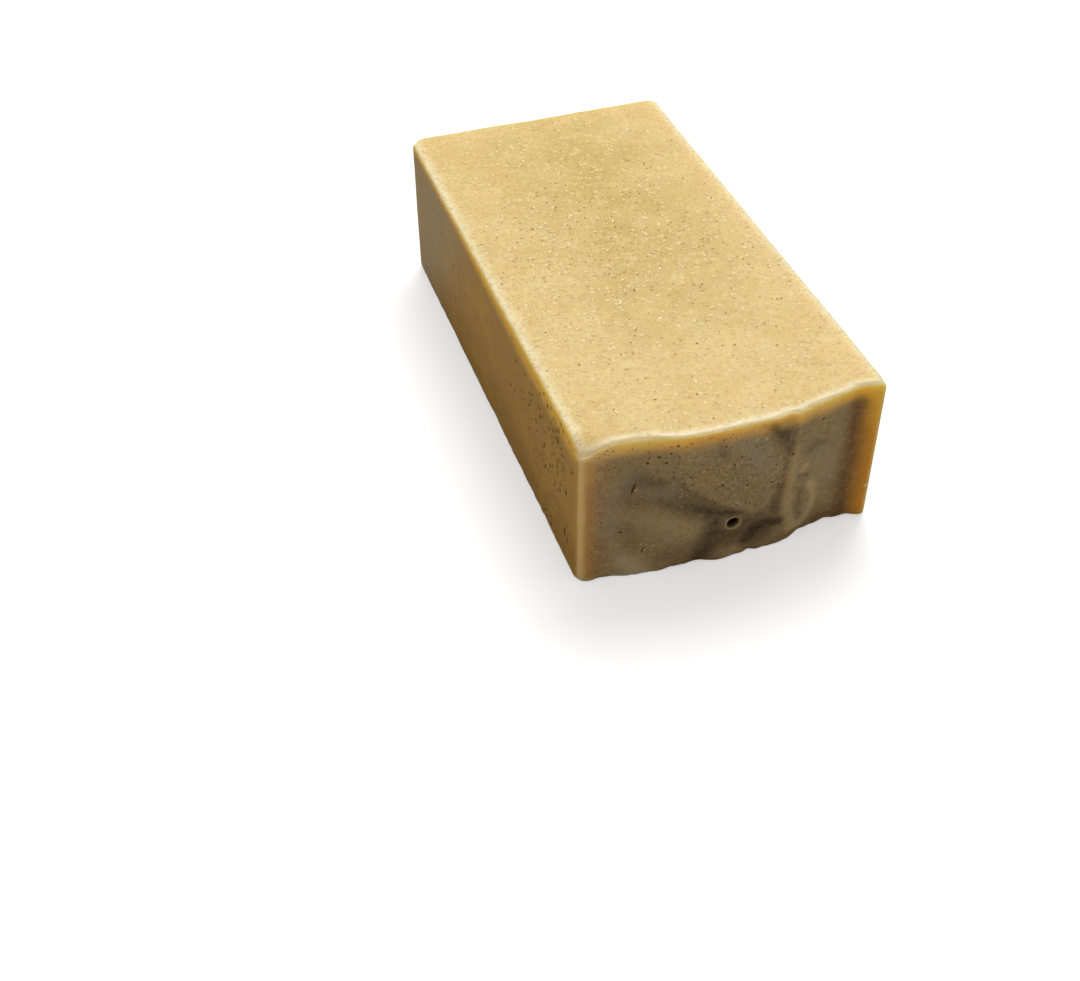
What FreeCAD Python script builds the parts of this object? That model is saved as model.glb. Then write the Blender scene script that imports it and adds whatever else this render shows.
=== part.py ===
import FreeCAD, Part

# A hand-cut bar of soap, made in the order in which the real one is made.
# Soap is poured into a tall, narrow loaf mould, its top is stirred into soft folds, and the set loaf is
# sliced with a wire. So a bar is one solid with two wire-cut faces, two mould walls, the foot that stood
# on the mould's floor, and the crown, which is the poured and folded top of the loaf.
# Millimetres. X runs across the mould, Y from the crown (-Y) to the foot (+Y), Z from cut to cut.
# The origin is under the middle of the bar, on its lower cut face.

import math
import os

import Sketcher

OUT = "parts"
NODE = "soap_bar"

# Driving sizes in millimetres: alias, value, what it measures.
SIZES = (
    ("bar_width", 51.0, "inside width of the loaf mould"),
    ("cut_thickness", 28.0, "from one wire cut to the next"),
    ("pour_height", 98.0, "from the foot to the crown's shoulders"),
    ("crown_rise", 2.15, "smooth middle of the crown above its shoulders"),
    ("crown_half_width", 15.0, "from the crown's middle to where it falls away"),
    ("crown_lean", 2.2, "drift of the crown's middle across the bar, from cut to cut"),
    ("tongue_height", 0.45, "broad lobe of batter that hangs from the upper cut"),
    ("trough_depth", 0.55, "stirred furrow round the tongue"),
    ("ridge_height", 0.5, "upright fold with a curled foot, beside the tongue"),
    ("mound_height", 0.35, "soft swellings to the left and at the lower cut"),
    ("valley_depth", 0.45, "shallow valley inside the right shoulder"),
    ("fold_softness", 1.1, "how far the edge of a fold spreads"),
    ("foot_corner_radius", 2.0, "the mould's lower corners"),
    ("shoulder_radius", 1.6, "where a mould wall meets the crown"),
    ("cut_edge_radius", 0.7, "worn edge round each wire cut"),
    ("bubble_width", 2.3, "mouth of the burst air bubble, across the bar"),
    ("bubble_height", 1.8, "mouth of the burst air bubble, from cut to cut"),
    ("bubble_depth", 2.0, "bottom of the bubble below the crown"),
)

# The crown's folds, each drawn by a stroke of round dabs. A dab is its place across the bar (a share of
# the half width), its place from cut to cut (a share of the thickness) and its radius (a share of the
# half width). A stroke either raises the crown (1) or lowers it (-1) by the size that it names. Strokes
# that the wire cut through run on past the cut.
FOLDS = (
    ("tongue_height", 1, ((-0.14, 1.20, 0.37), (-0.02, 0.71, 0.35), (0.10, 0.54, 0.21))),
    ("trough_depth", -1, ((0.36, 0.84, 0.01), (0.33, 0.60, 0.03), (0.24, 0.30, 0.05), (0.12, 0.24, 0.05),
                          (-0.16, 0.38, 0.04), (-0.46, 0.60, 0.04), (-0.66, 0.74, 0.06))),
    ("trough_depth", -1, ((-0.16, 0.38, 0.04), (-0.24, 0.18, 0.05), (-0.29, -0.20, 0.04))),
    ("ridge_height", 1, ((0.39, 1.20, 0.03), (0.38, 0.68, 0.03), (0.35, 0.22, 0.04), (0.43, 0.14, 0.04),
                         (0.52, 0.21, 0.03), (0.52, 0.40, 0.02))),
    ("mound_height", 1, ((-0.49, 0.46, 0.13), (-0.33, 0.27, 0.13))),
    ("mound_height", 1, ((-0.11, -0.20, 0.07), (-0.03, 0.10, 0.05))),
    ("valley_depth", -1, ((0.64, -0.20, 0.14), (0.80, 0.60, 0.05), (0.84, 1.20, 0.05))),
)

# The burst air bubble's place on the crown, in the same shares.
BUBBLE_PLACE = (-0.01, 0.285)

# The crown is smooth where it is flat and falls away quickly: the dome's power says how quickly. Its
# middle stands over the bar's own middle at this share of the thickness.
DOME_POWER = 4
LEAN_CENTRE = 0.65

# The crown's surface is drawn through points this far apart, and runs this far past the bar.
GRID_STEP = 1.6
SPARE = 4.0

# Lengths under this count as none, and a burst bubble leaves at least this share of itself as a pit.
TOUCH = 1e-3
PIT_SHARE = 0.3


def make_sheet(doc):
    """The spreadsheet that holds every driving size under its alias."""
    sheet = doc.addObject("Spreadsheet::Sheet", "sizes")
    for row, (alias, value, meaning) in enumerate(SIZES, start=1):
        sheet.set(f"A{row}", meaning)
        sheet.set(f"B{row}", str(value))
        sheet.setAlias(f"B{row}", alias)
    doc.recompute()
    return sheet


def overall_length(sheet):
    """From the foot to the top of the tongue, which is the crown's highest place."""
    return sheet.pour_height + sheet.crown_rise + sheet.tongue_height


def depth_inside_stroke(x, z, dabs):
    """How far a place on the crown lies inside a stroke of dabs (positive) or outside it (negative)."""
    deepest = -math.inf
    for (x0, z0, r0), (x1, z1, r1) in zip(dabs, dabs[1:]):
        run_x, run_z = x1 - x0, z1 - z0
        along = ((x - x0) * run_x + (z - z0) * run_z) / (run_x**2 + run_z**2)
        along = min(1.0, max(0.0, along))
        gap = math.hypot(x - x0 - along * run_x, z - z0 - along * run_z)
        deepest = max(deepest, r0 + along * (r1 - r0) - gap)
    return deepest


def crown_y(sheet, x, z):
    """Where the poured top lies along the bar, above one place of its width and thickness."""
    half_width = sheet.bar_width / 2
    middle = sheet.crown_lean * (z / sheet.cut_thickness - LEAN_CENTRE)
    rise = sheet.crown_rise * math.exp(-(((x - middle) / sheet.crown_half_width) ** DOME_POWER))
    for size, direction, stroke in FOLDS:
        dabs = [(a * half_width, b * sheet.cut_thickness, r * half_width) for a, b, r in stroke]
        share = (1 + math.tanh(depth_inside_stroke(x, z, dabs) / sheet.fold_softness)) / 2
        rise += direction * share * getattr(sheet, size)
    return overall_length(sheet) / 2 - sheet.pour_height - rise


def spaced(start, stop):
    """Evenly spaced places from start to stop, about a grid step apart."""
    count = math.ceil((stop - start) / GRID_STEP)
    return [start + (stop - start) * number / count for number in range(count + 1)]


def make_headroom(doc, sheet):
    """The empty top of the mould over the poured crown: a surface through the crown, pushed outwards."""
    half_width = sheet.bar_width / 2 + SPARE
    grid = [
        [FreeCAD.Vector(x, crown_y(sheet, x, z), z) for z in spaced(-SPARE, sheet.cut_thickness + SPARE)]
        for x in spaced(-half_width, half_width)
    ]
    surface = Part.BSplineSurface()
    surface.interpolate(grid)
    rise = sheet.crown_rise + sheet.tongue_height + SPARE
    headroom = doc.addObject("Part::Feature", "headroom")
    headroom.Shape = surface.toShape().extrude(FreeCAD.Vector(0, -2 * rise, 0))
    return headroom


def draw_section(body, sheet):
    """The mould's section: a rectangle from the foot to a brim that is well above the crown."""
    section = body.newObject("Sketcher::SketchObject", "mould_section")
    plane = next(item for item in body.Origin.OriginFeatures if item.Role == "XY_Plane")
    section.AttachmentSupport = [(plane, "")]
    section.MapMode = "FlatFace"
    half_width = sheet.bar_width / 2
    end = overall_length(sheet) / 2
    corners = [(-half_width, end), (half_width, end), (half_width, -end), (-half_width, -end)]
    points = [FreeCAD.Vector(x, y, 0) for x, y in corners]
    for start, stop in zip(points, points[1:] + points[:1]):
        section.addGeometry(Part.LineSegment(start, stop), False)
    foot, right, brim, left = range(4)
    x_axis, y_axis = -1, -2
    for line, following in ((foot, right), (right, brim), (brim, left), (left, foot)):
        section.addConstraint(Sketcher.Constraint("Coincident", line, 2, following, 1))
    section.addConstraint(Sketcher.Constraint("Horizontal", brim))
    for line in (right, left):
        section.addConstraint(Sketcher.Constraint("Vertical", line))
    section.addConstraint(Sketcher.Constraint("Symmetric", foot, 1, foot, 2, y_axis))
    overall = "sizes.pour_height + sizes.crown_rise + sizes.tongue_height"
    bound = (
        ("width", Sketcher.Constraint("DistanceX", foot, 1, foot, 2, 2 * half_width), "sizes.bar_width"),
        ("foot", Sketcher.Constraint("DistanceY", x_axis, 1, foot, 1, end), f"({overall}) / 2"),
        ("brim", Sketcher.Constraint("DistanceY", brim, 1, x_axis, 1, end), f"({overall}) / 2 + {SPARE}"),
    )
    for name, constraint, expression in bound:
        number = section.addConstraint(constraint)
        section.renameConstraint(number, name)
        section.setExpression(f"Constraints.{name}", expression)
    return section


def make_loaf_slice(doc, sheet):
    """The plain slice: the mould's section, padded from one wire cut to the next."""
    body = doc.addObject("PartDesign::Body", "loaf_slice")
    section = draw_section(body, sheet)
    pad = body.newObject("PartDesign::Pad", "cut_to_cut")
    pad.Profile = section
    pad.setExpression("Length", "sizes.cut_thickness")
    return body


def radius_of(sheet, edge):
    """The radius that wear and the mould give an edge, by where the edge lies."""
    box = edge.BoundBox
    if box.ZLength < TOUCH:
        return sheet.cut_edge_radius
    return sheet.foot_corner_radius if box.Center.y > 0 else sheet.shoulder_radius


def round_edges(doc, sheet, sharp):
    """All twelve edges rounded at once, so that the three radii blend at each corner."""
    rounded = doc.addObject("Part::Fillet", "rounded_slice")
    rounded.Base = sharp
    radii = [radius_of(sheet, edge) for edge in sharp.Shape.Edges]
    rounded.Edges = [(number, radius, radius) for number, radius in enumerate(radii, start=1)]
    return rounded


def make_bubble(doc, sheet):
    """The air bubble that burst on the crown: an egg-shaped space, with its equator as the mouth."""
    x = BUBBLE_PLACE[0] * sheet.bar_width / 2
    z = BUBBLE_PLACE[1] * sheet.cut_thickness
    bubble = doc.addObject("Part::Ellipsoid", "air_bubble")
    bubble.setExpression("Radius1", "sizes.bubble_depth")
    bubble.setExpression("Radius2", "sizes.bubble_width / 2")
    bubble.setExpression("Radius3", "sizes.bubble_height / 2")
    into_the_bar = FreeCAD.Rotation(FreeCAD.Vector(1, 0, 0), 90)
    bubble.Placement = FreeCAD.Placement(FreeCAD.Vector(x, crown_y(sheet, x, z), z), into_the_bar)
    return bubble


def cut(doc, name, base, tool):
    """One solid with another taken out of it."""
    result = doc.addObject("Part::Cut", name)
    result.Base = base
    result.Tool = tool
    doc.recompute()
    return result


def check(doc, bar):
    """Stops before anything is written if a feature failed or the bar isn't one sound, pitted solid."""
    failed = [item.Name for item in doc.Objects if {"Invalid", "Error"} & set(item.State)]
    if failed:
        raise RuntimeError(f"failed objects: {failed}")
    if bar.Shape.isNull() or not bar.Shape.isValid() or len(bar.Shape.Solids) != 1:
        raise RuntimeError("the bar isn't one valid solid")
    pit = bar.Base.Shape.Volume - bar.Shape.Volume
    if pit < PIT_SHARE * bar.Tool.Shape.Volume:
        raise RuntimeError("the bubble left no pit in the crown")


def main():
    doc = FreeCAD.newDocument("bar_of_soap")
    sheet = make_sheet(doc)
    poured_slice = cut(doc, "poured_slice", make_loaf_slice(doc, sheet), make_headroom(doc, sheet))
    rounded_slice = round_edges(doc, sheet, poured_slice)
    bar = cut(doc, NODE, rounded_slice, make_bubble(doc, sheet))
    check(doc, bar)
    os.makedirs(OUT, exist_ok=True)
    bar.Shape.exportStep(os.path.join(OUT, f"{bar.Label}.step"))
    box = bar.Shape.optimalBoundingBox()
    print(f"{bar.Label}: {box.XLength:.2f} x {box.YLength:.2f} x {box.ZLength:.2f} mm")
    print(f"centre ({box.Center.x:.2f}, {box.Center.y:.2f}), volume {bar.Shape.Volume / 1000:.1f} cm3")


main()
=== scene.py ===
# %% [markdown]
# # A hand-cut bar of soap
# Soap batter is poured into a tall, narrow mould, its top is stirred into soft folds, and the set loaf is
# sliced with a wire. So one bar shows four kinds of surface: two wire-cut faces full of grains, smooth
# mould walls with air pits, the foot that stood on the mould's floor, and the crown, the folded top of the
# pour. The measured solid comes first, and the dressed bar is built inside its box.

# %% Load the measured solid
import math

import bmesh
import bpy
import numpy as np
from mathutils import Matrix, Vector, noise


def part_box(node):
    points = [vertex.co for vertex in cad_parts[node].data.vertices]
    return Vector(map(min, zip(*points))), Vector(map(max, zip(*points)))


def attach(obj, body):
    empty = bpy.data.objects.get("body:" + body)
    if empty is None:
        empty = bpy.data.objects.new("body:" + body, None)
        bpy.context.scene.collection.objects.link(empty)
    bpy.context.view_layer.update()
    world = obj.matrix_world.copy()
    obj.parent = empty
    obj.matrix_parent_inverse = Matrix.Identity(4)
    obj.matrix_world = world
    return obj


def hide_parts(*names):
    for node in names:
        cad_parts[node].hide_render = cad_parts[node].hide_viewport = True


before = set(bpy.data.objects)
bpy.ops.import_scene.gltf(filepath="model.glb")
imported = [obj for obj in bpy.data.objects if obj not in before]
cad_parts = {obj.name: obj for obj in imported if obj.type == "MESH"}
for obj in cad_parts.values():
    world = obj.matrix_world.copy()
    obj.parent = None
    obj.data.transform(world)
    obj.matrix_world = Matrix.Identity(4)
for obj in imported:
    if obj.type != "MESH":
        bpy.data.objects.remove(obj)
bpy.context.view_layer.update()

MM = 0.001
NODE = "soap_bar"
low, high = (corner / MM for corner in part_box(NODE))
HALF_WIDTH = (high.x - low.x) / 2
THICKNESS = high.z - low.z
FOOT_Y = high.y
print(f"solid: {high.x - low.x:.1f} x {high.y - low.y:.1f} x {THICKNESS:.1f} mm")

# %% [markdown]
# ## The crown's folds
# A fold of thick batter is a stroke of a spoon. Each stroke here is a chain of round dabs, each with a
# radius, and `inside` says how far a place lies within it. A smooth step over that depth raises or lowers
# the crown, so a stroke is a handful of numbers and nothing is sculpted by hand.

# %% Describe the crown as strokes
POUR_HEIGHT = 98
SHOULDER_Y = FOOT_Y - POUR_HEIGHT
CROWN_RISE = 2.15
CROWN_HALF_WIDTH = 15
CROWN_LEAN = 2.2
LEAN_CENTRE = 0.65
DOME_POWER = 4
FOLD_SOFTNESS = 1.1
TONGUE = ((-0.14, 1.2, 0.37), (-0.02, 0.71, 0.35), (0.1, 0.54, 0.21))
TROUGH = ((0.36, 0.84, 0.01), (0.33, 0.6, 0.03), (0.24, 0.3, 0.05), (0.12, 0.24, 0.05),
          (-0.16, 0.38, 0.04), (-0.46, 0.6, 0.04), (-0.66, 0.74, 0.06))
TROUGH_TAIL = ((-0.16, 0.38, 0.04), (-0.24, 0.18, 0.05), (-0.29, -0.2, 0.04))
RIDGE = ((0.39, 1.2, 0.03), (0.38, 0.68, 0.03), (0.35, 0.22, 0.04), (0.43, 0.14, 0.04),
         (0.52, 0.21, 0.03), (0.52, 0.4, 0.02))
LEFT_MOUND = ((-0.49, 0.46, 0.13), (-0.33, 0.27, 0.13))
LOW_MOUND = ((-0.11, -0.2, 0.07), (-0.03, 0.1, 0.05))
VALLEY = ((0.64, -0.2, 0.14), (0.8, 0.6, 0.05), (0.84, 1.2, 0.05))
RIGHT_LIP = ((0.96, -0.2, 0.04), (0.96, 1.2, 0.04))
FOLDS = ((TONGUE, 0.45), (TROUGH, -0.55), (TROUGH_TAIL, -0.55), (RIDGE, 0.5), (LEFT_MOUND, 0.35),
         (LOW_MOUND, 0.35), (VALLEY, -0.45), (RIGHT_LIP, 0.35))


def inside(x, z, dabs):
    """How far places on the crown lie inside a stroke (positive) or outside it (negative), in mm."""
    deepest = np.full(np.shape(x), -1e3)
    dabs = [(a * HALF_WIDTH, b * THICKNESS, r * HALF_WIDTH) for a, b, r in dabs]
    for (x0, z0, r0), (x1, z1, r1) in zip(dabs, dabs[1:]):
        run_x, run_z = x1 - x0, z1 - z0
        along = np.clip(((x - x0) * run_x + (z - z0) * run_z) / (run_x**2 + run_z**2), 0, 1)
        gap = np.hypot(x - x0 - along * run_x, z - z0 - along * run_z)
        deepest = np.maximum(deepest, r0 + along * (r1 - r0) - gap)
    return deepest


def soft_step(depth, softness):
    """From 0 well outside a stroke to 1 well inside it."""
    return (1 + np.tanh(depth / softness)) / 2


def crown_rise(x, z):
    """How far the crown stands out from its shoulders, in mm."""
    middle = CROWN_LEAN * (z / THICKNESS - LEAN_CENTRE)
    rise = CROWN_RISE * np.exp(-(((x - middle) / CROWN_HALF_WIDTH) ** DOME_POWER))
    for dabs, height in FOLDS:
        rise = rise + height * soft_step(inside(x, z, dabs), FOLD_SOFTNESS)
    return rise


print(f"the tongue stands {float(crown_rise(np.array(2.0), np.array(20.0))):.2f} mm above the shoulders")

# %% [markdown]
# ## A box of quads to shape
# A bevelled cube can't carry folds and pits, and a remesh would blur the edges. So the bar starts as a box
# of grids, whose lines crowd together at the edges, where the rounding needs them. A flat box is easy to
# refine: quads near a pit are split while everything is still plane.

# %% Build the flat grid box
EDGE_LINES = (0.0, 0.1, 0.22, 0.36, 0.52, 0.7, 0.95, 1.25, 1.6, 2.0)
CROSS_STEP = 0.46
NEAR_STEP = 0.56
FAR_STEP = 1.3
NEAR_LENGTH = 38


def grid_lines(start, stop, spans):
    """Places of the grid lines from start to stop: close at both ends, then as the spans' steps say."""
    places = [start + gap for gap in EDGE_LINES]
    for end, step in spans:
        count = max(1, round((end - places[-1]) / step))
        first = places[-1]
        places += [first + (end - first) * line / count for line in range(1, count + 1)]
    return places + [stop - gap for gap in EDGE_LINES[-2::-1]]


def box_mesh(lines):
    """A closed box of quads on three lists of grid lines, as points and faces that look outwards."""
    numbers, points, faces = {}, [], []

    def corner(place):
        if place not in numbers:
            numbers[place] = len(points)
            points.append([lines[axis][place[axis]] for axis in range(3)])
        return numbers[place]

    for axis in range(3):
        across, up = (axis + 1) % 3, (axis + 2) % 3
        for side in (0, len(lines[axis]) - 1):
            for i in range(len(lines[across]) - 1):
                for j in range(len(lines[up]) - 1):
                    face = []
                    for di, dj in ((0, 0), (1, 0), (1, 1), (0, 1)):
                        place = [0, 0, 0]
                        place[axis], place[across], place[up] = side, i + di, j + dj
                        face.append(corner(tuple(place)))
                    faces.append(face if side else face[::-1])
    return points, faces


inner = EDGE_LINES[-1]
lines = (
    grid_lines(-HALF_WIDTH, HALF_WIDTH, [(HALF_WIDTH - inner, CROSS_STEP)]),
    grid_lines(SHOULDER_Y, FOOT_Y, [(SHOULDER_Y + NEAR_LENGTH, NEAR_STEP), (FOOT_Y - inner, FAR_STEP)]),
    grid_lines(0.0, THICKNESS, [(THICKNESS - inner, CROSS_STEP)]),
)
points, faces = box_mesh(lines)
body_mesh = bpy.data.meshes.new("soap_bar_body")
body_mesh.from_pydata(points, [], faces)
print(f"flat box: {len(faces)} quads")

# %% [markdown]
# ## Where the pits are
# Air caught against the mould wall leaves pits, which gather towards the top of the pour. The larger ones
# are listed one by one and the small ones are drawn from a fixed seed, denser near the crown.
# A pit is a place on its face, a half width, a half height and a depth in millimetres, and a lean in
# degrees. The larger pits on the wall stand upright, so their list leaves the lean out.

# %% List the pits
BUBBLE = (0.01 * HALF_WIDTH, 0.255 * THICKNESS, 1.15, 0.9, 2, 0)
CROWN_PITS = (
    (-16.6, 17.9, 0.18, 0.9, 0.45, 20), (-14.75, 5.2, 0.16, 0.6, 0.4, 25), (-12.9, 24.1, 0.2, 0.25, 0.25, 0),
    (-14.6, 23.1, 0.2, 0.2, 0.2, 0), (-11.8, 22.9, 0.22, 0.18, 0.25, 0), (-10.3, 26.3, 0.2, 0.2, 0.2, 0),
    (14.4, 24.2, 0.16, 0.25, 0.2, 15), (-18.4, 9.4, 0.24, 0.18, 0.2, 0), (-2.6, 16.6, 0.18, 0.25, 0.2, 0),
    (-3.6, 13.2, 0.24, 0.16, 0.2, -30), (7.5, 13.5, 0.16, 0.22, 0.2, 0), (9.3, 19.2, 0.16, 0.22, 0.2, 0),
    (0.2, 21.6, 0.17, 0.17, 0.2, 0), (-0.9, 20.4, 0.16, 0.22, 0.2, 0), (1.6, 15.5, 0.2, 0.16, 0.2, 0),
)
WALL_PITS = (
    (-33.5, 25.6, 0.45, 0.4, 0.5), (-38.8, 24.8, 0.4, 0.6, 0.6), (-34, 21.4, 0.5, 0.3, 0.5),
    (-38.5, 22.5, 0.5, 0.35, 0.5), (-37.2, 22.1, 0.3, 0.25, 0.4), (-40.4, 21.2, 0.35, 0.3, 0.5),
    (-29.7, 20.4, 0.45, 0.3, 0.4), (-27.5, 18, 0.42, 0.42, 0.5), (-26, 22, 0.35, 0.3, 0.4),
    (-24.3, 21.3, 0.35, 0.3, 0.4), (-31.8, 16.3, 0.35, 0.35, 0.4), (-38.2, 18.2, 0.4, 0.4, 0.6),
    (-38.3, 16.9, 0.4, 0.3, 0.5), (-38.4, 15.6, 0.3, 0.3, 0.4), (-34.6, 14.2, 0.45, 0.4, 0.5),
    (-39.9, 14.6, 0.35, 0.3, 0.4), (-39.4, 13.1, 0.35, 0.4, 0.4), (-32.5, 12.3, 0.35, 0.3, 0.4),
    (-33.6, 12.3, 0.35, 0.3, 0.4), (-24, 13.6, 0.35, 0.3, 0.3), (-24.2, 11.8, 0.35, 0.25, 0.3),
    (-20.5, 18.6, 0.35, 0.25, 0.3), (-16, 15.4, 0.4, 0.25, 0.3), (-14, 15.2, 0.35, 0.22, 0.3),
    (-17.3, 22.6, 0.4, 0.25, 0.3), (-41.7, 6.1, 0.45, 0.75, 0.8), (-43, 5.2, 0.3, 0.4, 0.4),
    (-26, 4.5, 0.35, 0.3, 0.3), (-27.3, 3.6, 0.3, 0.25, 0.3), (-35.1, 1.9, 0.4, 0.35, 0.4),
    (-31.5, 1.9, 0.35, 0.25, 0.3), (-42.3, 15, 0.35, 0.6, 0.4), (-41, 18.9, 0.3, 0.5, 0.4),
)


def small_pits(seed, count, centre, spread):
    """Small pits round a centre on a wall, drawn from a fixed seed and kept off the edges."""
    random = np.random.default_rng(seed)
    pits = []
    while len(pits) < count:
        y, z = random.normal(centre, spread)
        half = random.uniform(0.13, 0.3)
        tall = half * random.uniform(0.8, 1.5)
        if SHOULDER_Y + 2 < y < FOOT_Y - 2 and 1 < z < THICKNESS - 1:
            pits.append((y, z, half, tall, random.uniform(0.15, 0.35), random.uniform(-50, 50)))
    return pits


LEFT_PITS = [(*pit, 0) for pit in WALL_PITS]
LEFT_PITS += small_pits(3, 140, (-37, 16), (9, 8)) + small_pits(4, 14, (25, 16), (12, 7))
RIGHT_PITS = small_pits(5, 70, (-34, 15), (12, 8))
FAR_PITS = [pit for pit in LEFT_PITS if pit[0] > SHOULDER_Y + NEAR_LENGTH]
print(f"pits: {len(LEFT_PITS)} left, {len(RIGHT_PITS)} right, {len(CROWN_PITS)} on the crown")

# %% [markdown]
# ## Finer quads where the detail is
# Splitting only the quads round each pit and along the folds' lips keeps the whole bar under its triangle
# budget. `pit_reach` gives a place's distance from a pit in pit radii, so the mouth of a pit is at 1. Each
# of three rounds says how far in millimetres it reaches round the bubble, round the pits, round the pits
# on the coarse far half of the wall, and along the lips. The last one sharpens the bubble's mouth.

# %% Refine the flat box
FINE_ROUNDS = ((1, 0.5, 1.1, 1.2), (0.55, 0.18, 0.78, 0), (0, 0, 0.3, 0))
MOUTH_BAND = (0.8, 1.15)
RAGGED_BAND = 1.3
ON_FACE = 0.01


def pit_reach(a, b, pit):
    """Distance from a pit's middle in pit radii, for places a and b on the pit's face."""
    lean = math.radians(pit[5])
    gap_a, gap_b = a - pit[0], b - pit[1]
    across = gap_a * math.cos(lean) - gap_b * math.sin(lean)
    along = gap_a * math.sin(lean) + gap_b * math.cos(lean)
    return np.hypot(across / pit[2], along / pit[3])


def near_pits(a, b, pits, margin):
    """True for places within margin millimetres of the mouth of any pit."""
    found = np.zeros(a.shape, bool)
    for pit in pits:
        grown = (pit[0], pit[1], pit[2] + margin, pit[3] + margin, pit[4], pit[5])
        found |= pit_reach(a, b, grown) < 1
    return found


def wants_split(centres, fine_round):
    """Which faces of the flat box are to be split in this round."""
    bubble_margin, pit_margin, far_margin, lip_margin = FINE_ROUNDS[fine_round]
    x, y, z = centres.T
    on_crown = y < SHOULDER_Y + ON_FACE
    on_left = x < ON_FACE - HALF_WIDTH
    wanted = on_left & near_pits(y, z, FAR_PITS, far_margin)
    if fine_round == len(FINE_ROUNDS) - 1:
        reach = pit_reach(x, z, BUBBLE)
        return wanted | on_crown & (reach > MOUTH_BAND[0]) & (reach < MOUTH_BAND[1])
    wanted |= on_crown & near_pits(x, z, [BUBBLE], bubble_margin)
    wanted |= on_crown & near_pits(x, z, CROWN_PITS, pit_margin)
    if lip_margin:
        for dabs in (TONGUE, RIDGE):
            wanted |= on_crown & (np.abs(inside(x, z, dabs)) < lip_margin)
        wanted |= (z > THICKNESS - RAGGED_BAND) & (y < SHOULDER_Y + RAGGED_BAND)
    wanted |= on_left & near_pits(y, z, LEFT_PITS, pit_margin)
    wanted |= (x > HALF_WIDTH - ON_FACE) & near_pits(y, z, RIGHT_PITS, pit_margin)
    return wanted


shape = bmesh.new()
shape.from_mesh(body_mesh)
for fine_round in range(len(FINE_ROUNDS)):
    shape.faces.ensure_lookup_table()
    centres = np.array([face.calc_center_median() for face in shape.faces])
    chosen = np.flatnonzero(wants_split(centres, fine_round))
    edges = {edge for index in chosen for edge in shape.faces[index].edges}
    bmesh.ops.subdivide_edges(shape, edges=list(edges), cuts=1, use_grid_fill=True)
    print(f"round {fine_round + 1}: {len(chosen)} faces split, {len(shape.faces)} in all")
bmesh.ops.triangulate(shape, faces=[face for face in shape.faces if len(face.verts) > 4])
shape.to_mesh(body_mesh)
shape.free()

# %% [markdown]
# ## Rounding the box
# The rounding is a formula on every point. Near an edge, `side` is the distance to the nearest wall and
# `depth` the distance to the nearest cut. Pulling that pair onto a circle makes the worn edge, and pulling
# the plan's square corners onto a circle makes the mould's corners. A bevel would do the same, but here
# every point keeps its place in the flat box, which later says what kind of surface it lies on.

# %% Round the edges and corners
UPPER_EDGE_RADIUS = 0.7
LOWER_EDGE_RADIUS = 0.35
FOOT_EDGE_RADIUS = 0.4
WORN_CORNERS = ((-25.5, 3.4, 0.8), (-15.5, 4, 0.3), (13, 4, 0.3), (23.5, 3, 0.8))
WORN_LENGTH = 4
FOOT_RADIUS = 2
LEFT_SHOULDER_RADIUS = 1.6
RIGHT_SHOULDER_RADIUS = 0.7
HALF_LENGTH = POUR_HEIGHT / 2
MIDDLE_Y = FOOT_Y - HALF_LENGTH
BAND = 3
TINY = 1e-9


def bumps(place, waves):
    """A sum of smooth bumps along an edge, each given by its place, half width and height."""
    return sum(height * np.exp(-(((place - centre) / width) ** 2)) for centre, width, height in waves)


def fade_from(distance, length):
    """1 at the start, falling smoothly to 0 at the given length."""
    share = np.clip(1 - distance / length, 0, 1)
    return share * share * (3 - 2 * share)


def edge_radius(x, y, z):
    """The radius of the cut edges: largest at the crown's two upper corners, which are worn the most."""
    worn = bumps(x, WORN_CORNERS) * fade_from(y + HALF_LENGTH, WORN_LENGTH)
    upper = np.where(y > HALF_LENGTH - BAND, FOOT_EDGE_RADIUS, UPPER_EDGE_RADIUS + worn)
    return np.where(z > THICKNESS / 2, upper, LOWER_EDGE_RADIUS)


def rounded_cut_edges(flat):
    """The flat box's points with the edges round both cuts rounded."""
    x, y, z = flat[:, 0], flat[:, 1] - MIDDLE_Y, flat[:, 2]
    side = np.minimum(HALF_WIDTH - np.abs(x), HALF_LENGTH - np.abs(y))
    depth = np.minimum(z, THICKNESS - z)
    radius = edge_radius(x, y, z)
    over = np.stack([radius - side, radius - depth])
    near = (over > 0).all(0)
    pull = np.where(near, over.max(0) / np.maximum(np.hypot(*over), TINY), 1)
    new_side = np.where(near, radius - over[0] * pull, side)
    new_depth = np.where(near, radius - over[1] * pull, depth)
    x = x * (HALF_WIDTH - new_side) / np.maximum(HALF_WIDTH - side, TINY)
    y = y * (HALF_LENGTH - new_side) / np.maximum(HALF_LENGTH - side, TINY)
    z = np.where(z < THICKNESS / 2, new_depth, THICKNESS - new_depth)
    return np.stack([x, y + MIDDLE_Y, z], 1)


def rounded_corners(points):
    """The same points with the four upright corners rounded."""
    x, y = points[:, 0].copy(), points[:, 1] - MIDDLE_Y
    radius = np.where(x > 0, RIGHT_SHOULDER_RADIUS, LEFT_SHOULDER_RADIUS)
    radius = np.where(y > 0, FOOT_RADIUS, radius)
    over_x = np.abs(x) - (HALF_WIDTH - radius)
    over_y = np.abs(y) - (HALF_LENGTH - radius)
    near = (over_x > 0) & (over_y > 0)
    pull = np.where(near, np.maximum(over_x, over_y) / np.maximum(np.hypot(over_x, over_y), TINY), 1)
    x = np.where(near, np.sign(x) * (HALF_WIDTH - radius + over_x * pull), x)
    y = np.where(near, np.sign(y) * (HALF_LENGTH - radius + over_y * pull), y)
    return np.stack([x, y + MIDDLE_Y, points[:, 2]], 1)


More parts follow.
